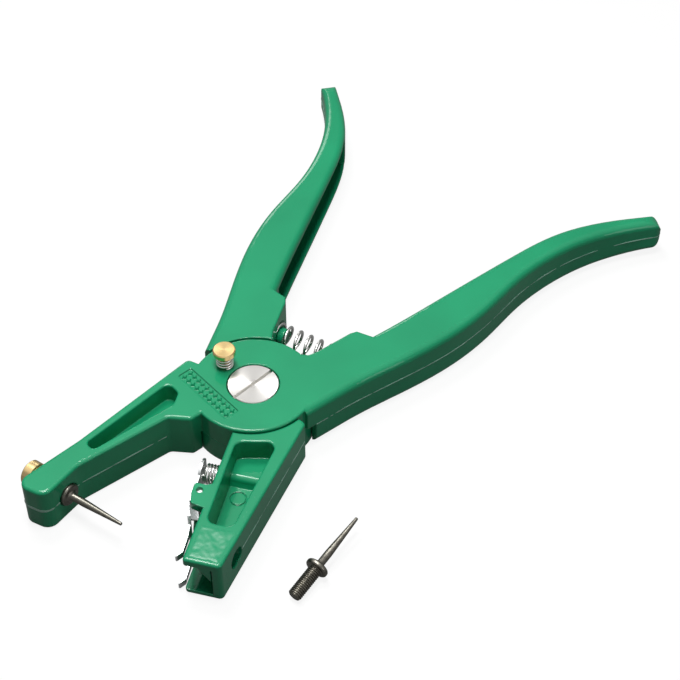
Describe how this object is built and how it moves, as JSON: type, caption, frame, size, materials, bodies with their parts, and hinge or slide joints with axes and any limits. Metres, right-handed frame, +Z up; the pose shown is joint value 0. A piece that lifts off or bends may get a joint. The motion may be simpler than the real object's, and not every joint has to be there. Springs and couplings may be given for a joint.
{
  "type": "ear tag applicator",
  "caption": "hand pliers for fitting livestock ear tags: half-lapped green levers on a slotted pivot screw, a needle jaw, a sprung tag-clip jaw, a brass lock button and a loose spare needle",
  "frame": {"origin": "on the pivot axis, at the plane the tool rests on", "axes": "+X from the pivot toward the jaws, along the tool's length; +Z up the pivot axis, out of the screw head"},
  "size_m": [0.2529, 0.1662, 0.0276],
  "materials": {
    "green_enamel": "glossy stoved enamel on die-cast aluminium alloy",
    "bright_screw": "turned and nickel plated steel",
    "zinc_plate": "bright zinc plated steel",
    "spring_wire": "bright plated spring wire",
    "brass": "turned brass, lightly polished",
    "dark_steel": "hardened steel, oil blacked and rubbed"
  },
  "bodies": {
    "needle_side": {"needle_lever": "green_enamel", "pivot_screw": "bright_screw", "pivot_washer": "zinc_plate", "pivot_nut": "zinc_plate", "needle": "dark_steel", "needle_nut": "brass", "lock_spring": "spring_wire"},
    "tag_side": {"tag_lever": "green_enamel", "clip_pin": "zinc_plate", "handle_spring": "spring_wire", "clip_spring": "spring_wire"},
    "lock": {"lock_button": "brass", "lock_ring": "zinc_plate"},
    "clip": {"tag_clip": "zinc_plate"},
    "spare": {"spare_needle": "dark_steel"}
  },
  "joints": [
    {"name": "squeeze", "type": "hinge", "parent": "needle_side", "child": "tag_side", "pos_m": [0, 0, 0], "axis": [0, 0, -1], "range_deg": [0, 32], "stiffness_Nm_per_rad": 1.5, "springref_deg": -28.65, "deforming": ["handle_spring"]},
    {"name": "lock_press", "type": "slide", "parent": "needle_side", "child": "lock", "axis": [0, 0, -1], "range_m": [0, 0.0016], "stiffness_N_per_m": 1500, "springref_m": -0.002, "deforming": ["lock_spring"]},
    {"name": "clip_turn", "type": "hinge", "parent": "tag_side", "child": "clip", "pos_m": [0.0498, 0.0135, 0], "axis": [0, 0, -1], "range_deg": [0, 9], "stiffness_Nm_per_rad": 0.36, "springref_deg": -14.32, "deforming": ["clip_spring"]},
    {"name": "spare_slide", "type": "slide", "parent": "needle_side", "child": "spare", "axis": [0, 1, 0], "range_m": [0, 0.03]}
  ]
}
